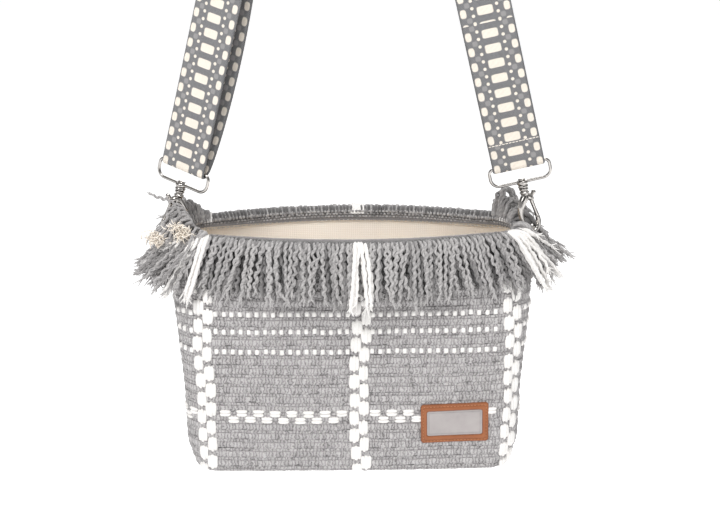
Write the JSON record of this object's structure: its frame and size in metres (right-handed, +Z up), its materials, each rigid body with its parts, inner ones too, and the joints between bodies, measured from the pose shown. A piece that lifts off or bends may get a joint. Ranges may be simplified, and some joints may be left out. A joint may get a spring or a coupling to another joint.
{
  "type": "fringed woven shoulder bag",
  "caption": "Small open-top woven shoulder bag with yarn fringe round the mouth, canvas lining, label patch and a wide adjustable strap on two swivel snap hooks",
  "frame": {"origin": "hanging point: inner top of the strap loop on the bag's middle plane", "axes": "+X to the wearer-facing right along the bag's width, -Y the front with the label, +Z up"},
  "size_m": [0.334, 0.098, 0.67],
  "materials": {
    "grey_weave": "chunky grey cotton cloth woven in ribs, matt",
    "white_cord": "thick off-white cotton cord, matt",
    "grey_yarn": "grey two-ply cotton yarn, frayed ends",
    "canvas_lining": "cream cotton canvas",
    "webbing": "grey and cream jacquard webbing",
    "tan_leather": "smooth tan leather, stitched",
    "grey_plate": "pale grey leather inlay, no lettering",
    "thread": "waxed tan sewing thread",
    "dark_nickel": "polished dark nickel plated zinc and steel",
    "spring_steel": "bright spring steel"
  },
  "bodies": {
    "strap": {"strap_top": "webbing", "left_strap_run": "webbing", "right_strap_run": "webbing", "strap_tail": "webbing", "left_snap_hook": "dark_nickel", "right_snap_hook": "dark_nickel", "left_gate_pin": "dark_nickel", "right_gate_pin": "dark_nickel", "left_gate_spring": "spring_steel", "right_gate_spring": "spring_steel"},
    "left_frame": {"left_frame_loop": "dark_nickel", "left_strap_end": "webbing"},
    "right_frame": {"right_frame_loop": "dark_nickel", "right_strap_end": "webbing"},
    "left_gate": {"left_hook_gate": "dark_nickel"},
    "right_gate": {"right_hook_gate": "dark_nickel"},
    "slider": {"strap_slider": "dark_nickel"},
    "bag": {"front_panel": "grey_weave", "back_panel": "grey_weave", "front_lining": "canvas_lining", "back_lining": "canvas_lining", "front_rim_tape": "canvas_lining", "back_rim_tape": "canvas_lining", "front_accent_cords": "white_cord", "back_accent_cords": "white_cord", "front_fringe": "grey_yarn", "back_fringe": "grey_yarn", "front_tassels": "white_cord", "back_tassels": "white_cord", "front_magnetic_snap": "dark_nickel", "back_magnetic_snap": "dark_nickel", "label_frame": "tan_leather", "label_plate": "grey_plate", "label_stitches": "thread", "left_side_tufts": "grey_yarn", "right_side_tufts": "grey_yarn", "left_leather_tab": "tan_leather", "right_leather_tab": "tan_leather"},
    "left_ring": {"left_d_ring": "dark_nickel"},
    "right_ring": {"right_d_ring": "dark_nickel"}
  },
  "joints": [
    {"name": "bag_swing", "type": "hinge", "parent": "strap", "child": "bag", "pos_m": [0, 0, -0.49231], "axis": [1, 0, 0], "range_deg": [-20, 20]},
    {"name": "left_swivel", "type": "hinge", "parent": "strap", "child": "left_frame", "pos_m": [-0.13, 0, -0.4485], "axis": [0.2284, 0, 0.9736], "continuous": true},
    {"name": "right_swivel", "type": "hinge", "parent": "strap", "child": "right_frame", "pos_m": [0.13, 0, -0.4485], "axis": [-0.2284, 0, 0.9736], "continuous": true},
    {"name": "left_gate_hinge", "type": "hinge", "parent": "strap", "child": "left_gate", "pos_m": [-0.1366, 0, -0.45825], "axis": [0, -1, 0], "range_deg": [0, 22], "stiffness_Nm_per_rad": 0.02, "springref_deg": -11.46},
    {"name": "right_gate_hinge", "type": "hinge", "parent": "strap", "child": "right_gate", "pos_m": [0.13605, 0.0021, -0.45838], "axis": [-0.4868, 0.866, -0.1142], "range_deg": [0, 22], "stiffness_Nm_per_rad": 0.02, "springref_deg": -11.46},
    {"name": "slider_travel", "type": "slide", "parent": "strap", "child": "slider", "axis": [0.2284, 0, 0.9736], "range_m": [-0.05, 0.1], "deforming": ["strap_tail"]},
    {"name": "left_ring_rock", "type": "hinge", "parent": "bag", "child": "left_ring", "pos_m": [-0.14119, 0, -0.49621], "axis": [0, 1, 0], "range_deg": [-2.5, 2.5]},
    {"name": "right_ring_rock", "type": "hinge", "parent": "bag", "child": "right_ring", "pos_m": [0.14119, 0, -0.49621], "axis": [0, 1, 0], "range_deg": [-2.5, 2.5]}
  ]
}
